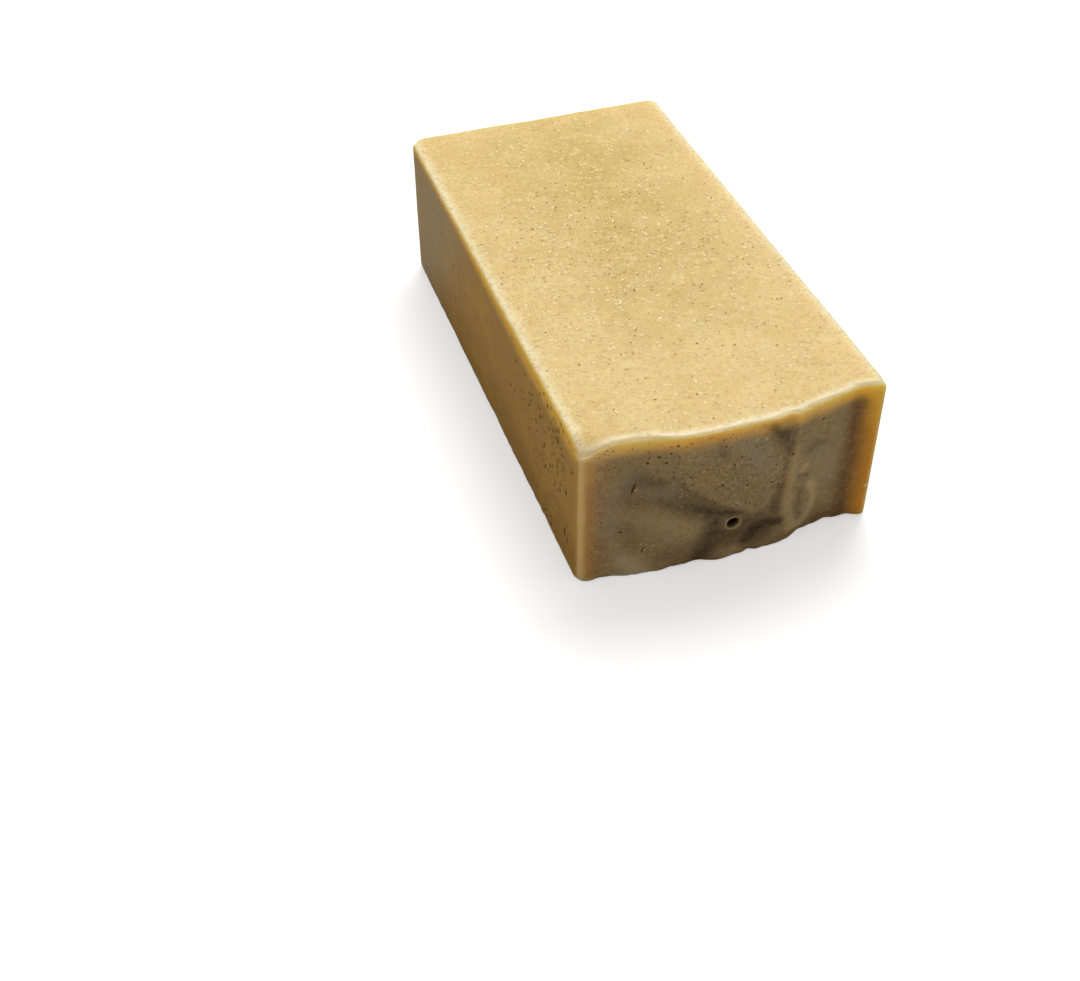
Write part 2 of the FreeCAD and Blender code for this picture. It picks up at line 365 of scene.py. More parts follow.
flat = np.empty(len(body_mesh.vertices) * 3)
body_mesh.vertices.foreach_get("co", flat)
flat = flat.reshape(-1, 3)
points = rounded_corners(rounded_cut_edges(flat))
print(f"rounded {len(points)} points")

# %% [markdown]
# ## Folds and worn edges
# The crown is pushed out by its rise, which fades away behind it so that the quads stay even. The cut
# edges of a real bar are never quite straight: the wire drags crumbs along, and the lower edge is worn.
# Everything moves inwards from the solid's box, so the bar keeps its measured size. An edge's swells and
# dips are bumps, each a place along it, a half width and a height.

# %% Say which face each point lies on
flat_x, flat_y, flat_z = flat.T
on_crown = flat_y < SHOULDER_Y + ON_FACE
on_foot = flat_y > FOOT_Y - ON_FACE
on_top = flat_z > THICKNESS - ON_FACE
on_bottom = flat_z < ON_FACE
on_left, on_right = (side * flat_x > HALF_WIDTH - ON_FACE for side in (-1, 1))
gap_left, gap_top, gap_crown = flat_x + HALF_WIDTH, THICKNESS - flat_z, flat_y - SHOULDER_Y
gap_wall = HALF_WIDTH - np.abs(flat_x)
gap_cut = np.minimum(flat_z, gap_top)
gap_side = np.minimum(gap_wall, np.minimum(FOOT_Y - flat_y, gap_crown))
print(f"points on the crown: {on_crown.sum()}, on the upper cut: {on_top.sum()}")

# %% Push out the folds and wear the edges
FADE_LENGTH = 18
LOWER_EDGE_WAVES = (
    (-25.4, 0.7, 0.4), (-23.6, 1.2, -0.3), (-17, 2.6, -0.5), (-9.4, 1.5, 0.6), (-5.2, 1.4, 0.55),
    (3.5, 0.7, 0.5), (8.4, 2, -0.15), (13.2, 1.5, 0.95), (15.6, 1, 0.35), (18.4, 1.6, 0.8),
    (22.2, 1.8, 0.85))
FOOT_WAVES = ((-25.5, 1.6, 1.3), (-16, 3, 0.1), (-1, 4.5, 0.15), (4.5, 2.5, 0.1), (17.5, 1.5, 0.06))
CORNER_DROOP = ((-25.5, 3.4, 1.6),)
DROOP_LENGTH = 4.5
DROOP_POWER = 6
LOWER_RAG = 0.14
LOWER_REACH = 1.1
EDGE_WEAR = 0.14
WEAR_REACH = 0.8
EDGE_RAG = 0.15
RAG_REACH = 0.9
WALL_WAVE = 0.1
FACE_WAVE = 0.07
GRAIN_ROOM = 0.1


def soft_noise(points, size):
    """Smooth noise from 0 to 1 at each point, whose lumps are about size millimetres wide."""
    return np.array([0.5 + 0.5 * noise.noise(Vector(point) / size) for point in points])


x, y, z = points.T.copy()
lower_edge = np.exp(-z / LOWER_REACH) * fade_from(gap_crown, BAND)
y -= crown_rise(x, z) * fade_from(gap_crown, FADE_LENGTH)
y += (bumps(x, LOWER_EDGE_WAVES) + LOWER_RAG * (soft_noise(points + 30, 0.9) * 2 - 1)) * lower_edge
y -= (bumps(x, FOOT_WAVES) * (0.35 + 0.65 * z / THICKNESS)) * fade_from(FOOT_Y - flat_y, BAND)

at_edge = np.exp(-((gap_cut + gap_side) / WEAR_REACH) ** 2)
wear = EDGE_WEAR * at_edge * soft_noise(points, 1.3) * soft_noise(points + 50, 6) * 2
z -= np.where(z > THICKNESS / 2, 1, -1) * wear
x -= np.sign(x) * wear * (gap_wall < 2)
z -= bumps(flat_x, CORNER_DROOP) * fade_from(gap_crown, DROOP_LENGTH) * (z / THICKNESS) ** DROOP_POWER
upper_front = np.exp(-((gap_top + gap_crown) / RAG_REACH) ** 2)
rag = EDGE_RAG * upper_front * (soft_noise(points, 0.7) ** 2 + 0.6 * soft_noise(points + 9, 2.4))
z -= rag
y += rag
z -= np.where(z > THICKNESS / 2, GRAIN_ROOM * np.clip(z / THICKNESS * 2 - 1, 0, 1), 0)
z -= np.where(on_top, FACE_WAVE * soft_noise(points, 14), 0)
wall_wave = WALL_WAVE * soft_noise(points + 20, 11)
x += np.where(on_left, wall_wave, 0) - np.where(on_right, wall_wave, 0)
print(f"the crown's edge is ragged by up to {rag.max():.2f} mm")

# %% [markdown]
# ## Pits and the burst bubble
# A pit has a flat floor and steep sides, so its depth falls as one minus a high power of the reach. The
# bubble is half a ball. How much of each place is pit, lip or bubble is kept for the colours.

# %% Sink the pits
PIT_POWER = 3
BUBBLE_RING = (1.18, 0.16)


def sink(a, b, pits):
    """How deep each place lies in the pits of its face, and how much of it is pit (0 to 1)."""
    deep, share = np.zeros(a.shape), np.zeros(a.shape)
    for pit in pits:
        reach = pit_reach(a, b, pit)
        deep = np.maximum(deep, pit[4] * np.clip(1 - reach**PIT_POWER, 0, 1))
        share = np.maximum(share, np.clip(1.35 - reach, 0, 1) * 2)
    return deep, np.clip(share, 0, 1)


in_pit, in_bubble, bubble_ring = np.zeros((3, len(x)))
for mask, along, pits, axis, direction in (
    (on_crown, flat_x, CROWN_PITS, y, 1),
    (on_left, flat_y, LEFT_PITS, x, 1),
    (on_right, flat_y, RIGHT_PITS, x, -1),
):
    deep, share = sink(along[mask], flat_z[mask], pits)
    axis[mask] += direction * deep
    in_pit[mask] = share
reach = pit_reach(flat_x[on_crown], flat_z[on_crown], BUBBLE)
y[on_crown] += BUBBLE[4] * np.sqrt(np.clip(1 - reach**2, 0, 1))
in_bubble[on_crown] = np.clip((1.02 - reach) * 8, 0, 1)
bubble_ring[on_crown] = np.exp(-(((reach - BUBBLE_RING[0]) / BUBBLE_RING[1]) ** 2))
pit_lips = np.where(on_left | on_right, np.clip(1 - np.abs(in_pit - 0.45) / 0.4, 0, 1), 0)
body_mesh.vertices.foreach_set("co", (np.stack([x, y, z], 1) * MM).ravel())
print(f"crown from y {y.min():.2f} mm, foot to y {y.max():.2f} mm, top at z {z.max():.2f} mm")

# %% [markdown]
# ## Maps of the finish
# The bar's colour maps: pale along the cut edges, where the rims carry painted sheen and highlight, partly
# dried; golden along the thin edges, partly the soap's own tone and partly painted glow of light through
# them; grey-brown on the crown with veils along the folds. The pale veils are partly painted highlight on
# the lips and ridges, the darker ones partly painted shade in the troughs and under the tongue's lip, the
# golden ones partly painted glow, and the cool ones a painted reflection haze. Each is stored as a number on
# every point, an attribute, which the material reads. So a pattern follows its surface and stays with the
# mesh in an export. A veil is a stroke like a fold, with its dabs in millimetres, then how soft its border
# is and how strong its colour.

# %% List the veils of colour
# Pale veils: pale patches, partly painted highlight on the tongue's lips and the ridges.
PALE_AND_HIGHLIGHT_VEILS = (
    (((-7.4, 17.4, 0.2), (-2.5, 13.2, 0.5), (0.6, 10.9, 0.7), (3.2, 9, 0.7)), 0.5, 0.55),
    (((3.4, 8.8, 0.5), (5.4, 9.8, 0.6), (6.8, 12.2, 0.3)), 0.4, 0.6),
    (((9.8, 20.5, 0.4), (9.9, 16, 0.8), (9.2, 11, 0.9), (9.5, 6, 1), (10.6, 3.6, 1.1)), 0.5, 0.6),
    (((10.6, 3.2, 1.1), (12.8, 2.8, 1.1), (14.3, 5.2, 0.8), (14.6, 8.2, 0.6), (14.2, 10.2, 0.6)), 0.4, 0.9),
    (((12.2, 15.4, 0.8), (11.8, 14.8, 0.7)), 0.3, 0.95),
    (((13.7, 11, 0.9), (14.4, 10.2, 0.8)), 0.3, 1),
    (((-13.6, 12.6, 1.6), (-10.6, 10.4, 2.2), (-6.8, 7.2, 2)), 2.2, 0.42),
    (((-2.2, 2, 0.9), (0.2, 1.6, 1), (1.4, 1.2, 0.5)), 0.7, 0.5),
    (((5.8, 1.8, 0.8), (8.2, 3, 1)), 0.9, 0.45),
    (((-8, 24, 1), (-3, 24.6, 1), (2, 25.4, 0.6)), 1.8, 0.35),
    (((-17.8, 3, 1), (-15.6, 1.2, 1.6)), 1.2, 0.9),
    (((-24, 25.6, 1.2), (-20.5, 26.8, 0.6)), 1.2, 0.6),
    (((-22.6, 22, 0.6), (-22.8, 10, 0.4)), 1.2, 0.35),
    (((-25.4, 0.6, 0.5), (-23, 0.2, 0.5)), 0.5, 0.8),
)
# Cool veils: a painted reflection haze on the satin crown.
REFLECTION_HAZE_VEILS = (
    (((-12, 21.6, 0.1), (-17, 20.9, 0.4), (-20, 16.4, 0.5), (-20.3, 9, 0.7), (-18.8, 4.6, 0.9),
      (-16.6, 1.4, 1.2)), 1.5, 0.5),
    (((-10.9, 18, 0.6), (-10.4, 16.6, 0.5)), 0.9, 0.6),
    (((0.8, 24.2, 1.4), (3, 22, 2), (4.6, 18.6, 1.4)), 1.6, 0.7),
    (((14.6, 16.6, 1.6), (16.6, 13, 1.8)), 2.2, 0.5),
    (((18.2, 24.6, 0.4), (18.6, 17, 0.5), (18.6, 10, 0.3)), 1, 0.25),
)
# Golden veils on the upper edge and left corner: partly the edge's own tone, partly painted glow.
GOLD_GLOW_VEILS = (
    (((-24.8, 27.6, 2.4), (-21.5, 27.4, 1.9), (-13, 27.9, 1.2)), 1.1, 1),
    (((-24.6, 26.4, 2), (-24.2, 22, 1)), 1.1, 0.9),
    (((9.5, 27.9, 0.9), (16, 27.9, 1)), 0.9, 0.6),
)
# Darker veils: partly the crown's own darker patches, partly painted shade in the troughs and under the
# tongue's lip.
DARK_AND_SHADE_VEILS = (
    (((2.6, 3.6, 1.5), (3.8, 4.6, 1.9), (5.8, 5.4, 1.5), (8, 5.6, 1.1)), 0.7, 0.9),
    (((5.2, 26.2, 0.7), (6.2, 24.9, 1), (7.4, 23.9, 1.4), (8.1, 22, 1), (8.6, 19.8, 0.4)), 0.9, 0.76),
    (((8.3, 13.5, 0.3), (7.6, 10, 0.7), (7.2, 7.4, 1.1)), 0.8, 0.6),
    (((-17, 16, 1.2), (-13, 15.2, 1.5), (-7, 13.6, 2), (-3.5, 11.4, 1.8)), 1.8, 0.5),
    (((8.7, 20, 0.1), (8.1, 15, 0.1), (7.8, 10, 0.4), (7.4, 7, 0.8)), 0.6, 0.38),
    (((-13, 15.4, 0.6), (-8.6, 13, 1.2), (-5, 11.2, 1.4), (-2.4, 9.8, 1.2)), 1.2, 0.76),
    (((-9.4, 18, 0.2), (-5.2, 14.2, 0.4), (-1.4, 10.8, 0.4)), 0.5, 0.6),
    (((-2.8, 9.2, 1.4), (-3.2, 5.6, 2), (-4, 3.4, 2), (-5.4, 1, 1.4)), 1.5, 0.84),
    (((-3, 5.2, 2.4), (1.2, 5.6, 2.4), (5, 4.8, 3)), 1.5, 0.74),
    (((-4, 10, 1.2), (-0.6, 9.6, 1.2), (1.2, 9.2, 0.7)), 0.9, 0.8),
    (((-12, 3.2, 1.2), (-8, 4.4, 1.4)), 1.8, 0.32),
    (((-7.6, 26.8, 0.3), (-3.4, 26.6, 0.4)), 0.8, 0.22),
    (((3.4, 26.9, 0.3), (8.2, 26.6, 0.5)), 0.8, 0.35),
    (((-17.4, 18.2, 1), (-15, 19, 1.6), (-12, 18.4, 1.2)), 1, 0.45),
    (((-17.8, 9.6, 0.9), (-16.4, 6.4, 0.9)), 1.4, 0.35),
    (((20.4, 25.2, 0.8), (20.9, 20, 0.9), (20.8, 12, 0.6)), 1.3, 0.38),
    (((20.6, 10, 0.8), (20.4, 2, 0.8)), 1.2, 0.45),
    (((12.8, 18.6, 0.5), (13.8, 19.6, 0.5), (15.4, 19.2, 0.3)), 0.6, 0.5),
    (((11.8, 10.4, 0.4), (11.6, 6.8, 0.5), (12.2, 5.3, 0.4)), 0.5, 0.36),
    (((11.2, 13.9, 0.2), (12.6, 13.4, 0.3)), 0.4, 0.55),
    (((-3.6, 25.4, 0.2), (-2.6, 22.4, 0.4)), 0.7, 0.45),
    (((15.6, 1.8, 0.8), (19, 1.6, 0.8)), 1.6, 0.45),
)
print(f"veils: {len(PALE_AND_HIGHLIGHT_VEILS + REFLECTION_HAZE_VEILS + GOLD_GLOW_VEILS + DARK_AND_SHADE_VEILS)}")

# %% Store the finish maps
FAR_AWAY = 10
RIM_WAVES = ((-25.5, 3.4, 6.4), (-15.5, 3, 3), (12, 4, 4.5))


def veil(x, z, strokes):
    """The strongest of several soft strokes of colour at each place, from 0 to 1."""
    strongest = np.zeros(x.shape)
    for dabs, softness, amount in strokes:
        shares = [(a / HALF_WIDTH, b / THICKNESS, r / HALF_WIDTH) for a, b, r in dabs]
        strongest = np.maximum(strongest, amount * soft_step(inside(x, z, shares), softness))
    return strongest


def store(name, values):
    """One number on every point of the bar, under a name that a material can read."""
    made = body_mesh.attributes.new(name, "FLOAT", "POINT")
    made.data.foreach_set("value", np.clip(values, 0, 1).astype(np.float32))


store("crown", on_crown)
store("wall", (on_left | on_right | on_foot) & ~on_crown)
store("pit", in_pit)
store("bubble", in_bubble)
store("bubble_ring", bubble_ring)
tongue_share = soft_step(inside(flat_x, flat_z, TONGUE), 1.5)
store("tongue", np.where(on_crown, tongue_share, 0.0))
VEILS = {"gold": GOLD_GLOW_VEILS, "cool": REFLECTION_HAZE_VEILS, "pale": PALE_AND_HIGHLIGHT_VEILS, "dark": DARK_AND_SHADE_VEILS}
for name, strokes in VEILS.items():
    store(name + "_veil", np.where(on_crown, veil(flat_x, flat_z, strokes), 0.0))
rim_fall = 8 - bumps(flat_x, RIM_WAVES)
front_gap = np.where(on_top, gap_crown, np.where(on_crown, gap_top * rim_fall, FAR_AWAY))
store("front_gap", front_gap / FAR_AWAY)
corner_gap = np.where(on_crown, gap_left, np.where(on_left, gap_crown * 2.2, FAR_AWAY))
store("left_corner", corner_gap / FAR_AWAY)
olive = np.exp(-(((flat_x - 3) / 16) ** 2)) * (1 - fade_from(flat_y + 44, 46))
olive *= 1 - fade_from(FOOT_Y - flat_y, 9) * 0.6
store("olive", np.where(on_top | on_bottom, olive, 0.0))
print(f"attributes: {[made.name for made in body_mesh.attributes if not made.is_internal]}")

# %% Make the bar's object


def new_object(name, data):
    """An object at the origin for a mesh, a lamp or a camera, in the scene."""
    made = bpy.data.objects.new(name, data)
    bpy.context.collection.objects.link(made)
    return made


body_mesh.polygons.foreach_set("use_smooth", [True] * len(body_mesh.polygons))
body_mesh.validate()
body_mesh.update()
body = new_object("soap_bar_body", body_mesh)
body_mesh.calc_loop_triangles()
print(f"bar: {len(body_mesh.loop_triangles)} triangles")

# %% [markdown]
# ## Small helpers for materials
# A material is a graph of nodes. These helpers add one node at a time and link it, so that the recipe
# below reads like a list of steps. The tree in the making lies on a bench, so no step names it. All sizes
# in the recipe are millimetres.

# %% Node helpers


class Bench:
    """Holds the node tree that is being built, to which the helpers below add nodes."""

    tree = None


def plain(red, green, blue):
    """A colour written as screen values from 0 to 255, as the linear values that nodes want."""
    linear = [((v / 255 + 0.055) / 1.055) ** 2.4 if v > 10 else v / 255 / 12.92 for v in (red, green, blue)]
    return (*linear, 1)


def node(kind, inputs=None, **settings):
    """A new node, with its settings and with inputs that are values or other nodes' sockets."""
    made = Bench.tree.nodes.new(kind)
    for name, value in settings.items():
        setattr(made, name, value)
    for key, value in (inputs or {}).items():
        if isinstance(value, bpy.types.NodeSocket):
            Bench.tree.links.new(value, made.inputs[key])
        else:
            made.inputs[key].default_value = value
    return made


def number(operation, first, second, clamp=False):
    """A Math node's result."""
    inputs = {0: first, 1: second}
    return node("ShaderNodeMath", inputs, operation=operation, use_clamp=clamp).outputs[0]


def add(first, second, clamp=False):
    """The sum of two numbers."""
    return number("ADD", first, second, clamp)


def less(first, second):
    """The first number less the second."""
    return number("SUBTRACT", first, second)


def times(first, second):
    """The product of two numbers."""
    return number("MULTIPLY", first, second)


def vector(operation, first, second):
    """A Vector Math node's result. The second is a number where a vector is scaled."""
    key = "Scale" if operation == "SCALE" else 1
    return node("ShaderNodeVectorMath", {0: first, key: second}, operation=operation).outputs[0]


def ramp(value, start, stop, low_value=0, high_value=1):
    """A value taken smoothly from start..stop to low_value..high_value."""
    inputs = {"Value": value, "From Min": start, "From Max": stop, "To Min": low_value, "To Max": high_value}
    return node("ShaderNodeMapRange", inputs, interpolation_type="SMOOTHSTEP").outputs["Result"]


def blend(factor, first, second):
    """Two colours mixed by a factor."""
    return node("ShaderNodeMix", {0: factor, 6: first, 7: second}, data_type="RGBA").outputs[2]


def layered(colour, layers):
    """A colour with other colours laid over it in turn, each by its share."""
    for share, laid in layers:
        colour = blend(share, colour, laid)
    return colour


def stored(name):
    """The number stored on the mesh under this name."""
    return node("ShaderNodeAttribute", attribute_name=name).outputs["Fac"]


def lumps(place, size, detail=2, rough=0.5):
    """Noise from 0 to 1 with lumps of about this size in millimetres."""
    inputs = {"Vector": place, "Scale": 1 / size, "Detail": detail, "Roughness": rough}
    return node("ShaderNodeTexNoise", inputs).outputs["Fac"]


def specks(place, spacing, radius, share, softness=0.3):
    """Round specks on a random lattice: 1 inside a speck. Share is the part of the lattice that has one."""
    found = node("ShaderNodeTexVoronoi", {"Vector": place, "Scale": 1 / spacing})
    hue = node("ShaderNodeSeparateColor", {0: found.outputs["Color"]})
    here = number("LESS_THAN", hue.outputs["Red"], share)
    size = ramp(hue.outputs["Green"], 0.0, 1.0, 0.45 * radius / spacing, radius / spacing)
    dot = ramp(less(size, found.outputs["Distance"]), 0.0, softness * radius / spacing)
    return times(dot, here)


def connect(result, shader, name):
    """Links a result to an input of the shader."""
    Bench.tree.links.new(result, shader.inputs[name])


def new_material(name):
    """A new finish on the bench, its shader, and the place on the object in millimetres."""
    made = bpy.data.materials.new(name)
    made.use_nodes = True
    Bench.tree = made.node_tree
    metres = node("ShaderNodeTexCoord").outputs["Object"]
    place = vector("MULTIPLY", metres, (1000, 1000, 1000))
    return made, Bench.tree.nodes["Principled BSDF"], place


def tell(what):
    """Prints how large the tree on the bench has grown."""
    print(f"{what}: {len(Bench.tree.nodes)} nodes")


print("node helpers ready")

# %% [markdown]
# ## The soap itself
# One material covers the whole bar, because it is one cast piece. It starts from the straw colour of the cut
# face, then lays the walls and the crown over it by their maps; their darker tones are partly their own and
# partly painted shade. At the edges it adds pale rims of painted sheen and highlight, partly dried, and a
# golden glow that is partly painted light through the thin soap. Each surface is a list of layers: a share,
# which says where the layer shows, and its colour.
# Fine specks come from a three-dimensional pattern, so they look sliced.

# %% Name the soap's colours
STRAW = plain(229, 198, 122)
STRAW_PALE = plain(238, 211, 142)
OLIVE = plain(208, 178, 90)
# A pale rim colour for painted light: sheen on the cut faces' left rim, glow on the right rim, light on the
# crown's upper left corner.
RIM_PALE_PAINTED_LIGHT = plain(255, 232, 184)
# Cream and warm rim colours for the front rim, partly its own dried edge and partly painted highlight.
RIM_CREAM_AND_HIGHLIGHT = plain(255, 235, 194)
RIM_WARM_AND_HIGHLIGHT = plain(255, 216, 150)
# A soft pale edge colour, partly the soap's own rim and partly painted light.
RIM_SOFT_AND_PAINTED_LIGHT = plain(242, 210, 146)
# A peach colour for a painted glow along the right edge of the cut faces.
PAINTED_PEACH_GLOW = plain(242, 208, 143)
GRAIN_TONE = plain(200, 166, 90)
# The walls' darker, warmer tone is partly their own and partly painted shade and warm bounce light.
WALL = plain(192, 148, 70)
WALL_LOW = plain(172, 128, 54)
# A golden tone: in random patches on the walls, and in the band under their top edge, which is partly
# painted glow.
WALL_GOLD = plain(244, 196, 80)
# A greyer colour for painted cooler light towards the foot end of the walls.
WALL_FAR_PAINTED_LIGHT = plain(182, 164, 134)
# The crown's grey-brown tones are partly its own and partly painted shade.
CROWN_TAUPE = plain(178, 150, 104)
CROWN_GREY = plain(170, 148, 110)
CROWN_PALE = plain(208, 180, 134)
# A cool grey for a painted reflection haze.
CROWN_HAZE_REFLECTION = plain(178, 164, 136)
# A dark brown, partly the crown's own and partly painted shade.
CROWN_DARK_AND_SHADE = plain(64, 43, 18)
CROWN_BROWN = plain(156, 108, 54)
CROWN_LEFT = plain(178, 132, 80)
CROWN_LOW = plain(132, 92, 46)
CROWN_SHADE = plain(116, 98, 68)
# Golden and orange edge colours: partly the soap's own golden edge, partly painted glow of light through the
# thin soap.
RIM_GOLD_GLOW = plain(255, 208, 104)
VEIL_GOLD_GLOW = plain(255, 222, 132)
AMBER_GLOW_LOW = plain(222, 160, 46)
AMBER_GLOW_HIGH = plain(255, 204, 74)
CORNER_GOLD_GLOW = plain(212, 164, 92)
PALE_SPECK = plain(255, 228, 162)
CROWN_PALE_SPECK = plain(236, 210, 166)
DARK_SPECK = plain(130, 92, 0)
CROWN_SPECK = plain(54, 38, 4)
# Painted shade in the pits and in the burst bubble's hollow.
PIT_SHADE = plain(94, 56, 6)
BUBBLE_SHADE = plain(34, 22, 10)

# %% Start the recipe with places and patterns
soap, shader, place = new_material("cast_soap")
at_x, at_y, at_z = node("ShaderNodeSeparateXYZ", {0: place}).outputs
cloud = lumps(place, 9, 3)
fine = lumps(place, 1.3, 4, 0.65)
grainy = lumps(place, 0.6, 3, 0.65)
wobble = times(lumps(place, 2.2, 3), 1.4)
from_left = add(at_x, HALF_WIDTH)
from_right = less(HALF_WIDTH, at_x)
from_top = less(THICKNESS, at_z)
near_left = add(from_left, wobble)
near_right = add(from_right, wobble)
near_top = add(from_top, times(lumps(place, 1.6, 4, 0.6), 2.2))
tell("places and patterns")

# %% Colour the cut faces
olive_share = times(stored("olive"), ramp(cloud, 0.65, 0.35, 0.6, 1))
patch = lumps(place, 1.8, 3, 0.6)
sheen_patches = ramp(lumps(place, 14, 2), 0.35, 0.6, 0.75, 1)
cut = layered(STRAW, (
    (ramp(cloud, 0.4, 0.65, 0, 0.55), STRAW_PALE),
    (olive_share, OLIVE),
    (ramp(patch, 0.48, 0.7, 0, 0.55), STRAW_PALE),
    # The pale left rim is a painted sheen, patchy along its length; the peach band and the pale right rim
    # are a painted glow.
    (times(ramp(near_left, 3.6, 1.1), sheen_patches), RIM_PALE_PAINTED_LIGHT),
    (ramp(near_right, 4.6, 1.5, 0, 0.75), PAINTED_PEACH_GLOW),
    (ramp(near_right, 2.9, 1.2, 0, 0.8), RIM_PALE_PAINTED_LIGHT),
    (ramp(grainy, 0.5, 0.64, 0, 0.55), GRAIN_TONE),
))
tell("with the cut faces")

# %% Colour the mould walls
far = add(at_y, times(at_z, 0.8))
thinning = ramp(at_y, -42, 35, -1.3, 1.2)
wall = layered(WALL, (
    (ramp(at_z, 14, 1), WALL_LOW),
    (ramp(lumps(place, 7, 3, 0.55), 0.42, 0.75, 0, 0.22), WALL_GOLD),
    (ramp(grainy, 0.45, 0.75, 0, 0.25), WALL_LOW),
    # Painted cooler light towards the foot end.
    (ramp(far, 22, 48, 0, 0.62), WALL_FAR_PAINTED_LIGHT),
    # Golden band under the top edge, thicker towards the crown: partly the wall's own tone, partly painted
    # glow.
    (ramp(add(near_top, thinning), 4.6, 1.8), WALL_GOLD),
))
tell("with the walls")

# %% Colour the crown
stir = lumps(vector("MULTIPLY", place, (1, 1, 0.7)), 5, 4, 0.55)
low_share = times(ramp(at_z, 6.5, 0.5, 0, 0.6), ramp(at_x, -15, -6))
speckle = lumps(place, 0.8, 3, 0.75)
on_tongue = ramp(stored("tongue"), 0, 1, 0.6, 1)
freckled = times(on_tongue, ramp(fine, 0.38, 0.6, 0.35, 1))
# The golden and orange tones near the top and right edges: partly their own, partly painted glow.
amber = blend(ramp(at_z, 14, 27), AMBER_GLOW_LOW, AMBER_GLOW_HIGH)
gold_tone = blend(ramp(at_x, 16, 22), RIM_GOLD_GLOW, amber)
drift = times(less(fine, 0.5), 0.9)


def drifting(name):
    """A stored veil, a little stronger here and weaker there."""
    share = stored(name)
    return add(share, times(drift, share), clamp=True)


crown = layered(CROWN_TAUPE, (
    (ramp(stir, 0.35, 0.65), CROWN_GREY),
    (ramp(near_left, 7.4, 2.6, 0, 0.9), CROWN_LEFT),
    (ramp(near_right, 8.6, 4.4), CROWN_BROWN),
    (low_share, CROWN_LOW),
    (times(ramp(speckle, 0.5, 0.66, 0, 0.9), freckled), CROWN_PALE),
    (times(ramp(speckle, 0.5, 0.34, 0, 0.65), freckled), CROWN_SHADE),
    # Golden band under the upper edge, partly painted glow.
    (ramp(near_top, 5, 2), gold_tone),
    # Golden veils, partly painted glow.
    (times(stored("gold_veil"), 0.85), VEIL_GOLD_GLOW),
    # Painted reflection haze.
    (drifting("cool_veil"), CROWN_HAZE_REFLECTION),
    # Pale veils, partly painted highlight on the fold lips and ridges.
    (drifting("pale_veil"), CROWN_PALE),
    # Darker veils, partly painted shade in the troughs.
    (drifting("dark_veil"), CROWN_DARK_AND_SHADE),
    # Orange band along the right edge, partly painted glow.
    (ramp(near_right, 5.6, 1.4), amber),
    (ramp(grainy, 0.5, 0.8, 0, 0.2), CROWN_BROWN),
))
tell("with the crown")

# %% Join the surfaces and paint their rims, partly dried edges and partly painted highlight and glow
wall_map, crown_map = stored("wall"), stored("crown")
rim_wobble = times(lumps(place, 0.8, 4, 0.75), 1.5)
upper_rim = ramp(add(from_top, rim_wobble), 1.5, 0.8)
near_corner = times(stored("left_corner"), FAR_AWAY)
near_corner = add(near_corner, times(wobble, 0.4))
# Painted light on the crown's worn upper left corner.
corner_glow = times(ramp(from_top, 3.6, 0.8, 0, 0.85), ramp(near_corner, 3.8, 1.8))
near_front = times(stored("front_gap"), FAR_AWAY)
over_edge = number("MAXIMUM", crown_map, ramp(near_front, 0.5, 0.1))
front_rim = ramp(add(near_front, rim_wobble), 3.1, 0.9, 0, 0.9)
low_rim = ramp(add(at_z, times(rim_wobble, 0.4)), 0.6, 0.3, 0, 0.5)
colour = layered(cut, (
    (wall_map, wall),
    (crown_map, crown),
    # A warm line under the top edge of the walls: painted highlight.
    (times(upper_rim, wall_map), RIM_WARM_AND_HIGHLIGHT),
    # Golden band and pale line down the corner between the crown and the left wall: partly their own tone,
    # partly painted glow.
    (ramp(near_corner, 4.2, 1.2, 0, 0.75), CORNER_GOLD_GLOW),
    (ramp(near_corner, 2.1, 0.7, 0, 0.85), RIM_SOFT_AND_PAINTED_LIGHT),
    # Painted light on the crown's upper left corner.
    (corner_glow, RIM_PALE_PAINTED_LIGHT),
    # The front rim: a dried pale edge, partly painted highlight.
    (front_rim, blend(over_edge, RIM_CREAM_AND_HIGHLIGHT, RIM_WARM_AND_HIGHLIGHT)),
    # A pale line along the lower edge: partly a burr, partly painted reflection.
    (times(low_rim, crown_map), RIM_SOFT_AND_PAINTED_LIGHT),
    # A pale line down the crown's right edge: partly its own rim, partly painted glow.
    (times(ramp(from_right, 1.2, 0.4, 0, 0.65), crown_map), RIM_SOFT_AND_PAINTED_LIGHT),
))
tell("with the rims")

# %% Add the specks, and the painted shade in the pits and the bubble
not_cut = number("MAXIMUM", wall_map, crown_map)
on_cut = less(1, not_cut)
blotches = specks(place, 2.6, 0.9, 0.4, 0.9)
pale_dots = specks(place, 1.2, 0.36, 0.45)
pale_dust = specks(place, 0.7, 0.2, 0.5)
pale_tone = blend(crown_map, PALE_SPECK, CROWN_PALE_SPECK)
side_share = ramp(crown_map, 0, 1, 0.1, 0.2)
side_share = add(side_share, times(stored("tongue"), 0.4))
side_share = times(side_share, ramp(from_right, 1.5, 6, 0.1, 1))
for dots, on_sides, on_cuts in ((blotches, 0, 0.5), (pale_dots, 0.9, 0.65), (pale_dust, 1, 0.5)):
    shown = number("MAXIMUM", times(on_cut, on_cuts), times(side_share, on_sides))
    colour = blend(times(dots, shown), colour, pale_tone)
clusters = ramp(lumps(place, 6, 2), 0.42, 0.6, 0.25, 1)
calm_front = number("MAXIMUM", ramp(at_y, -46, -20, 0.35, 1), not_cut)
clusters = times(clusters, calm_front)
dark_tone = blend(not_cut, DARK_SPECK, CROWN_SPECK)
for spacing, radius, share, strength in ((0.9, 0.16, 0.45, 0.8), (0.55, 0.11, 0.4, 0.65)):
    dots = times(specks(place, spacing, radius, share), clusters)
    colour = blend(times(dots, strength), colour, dark_tone)
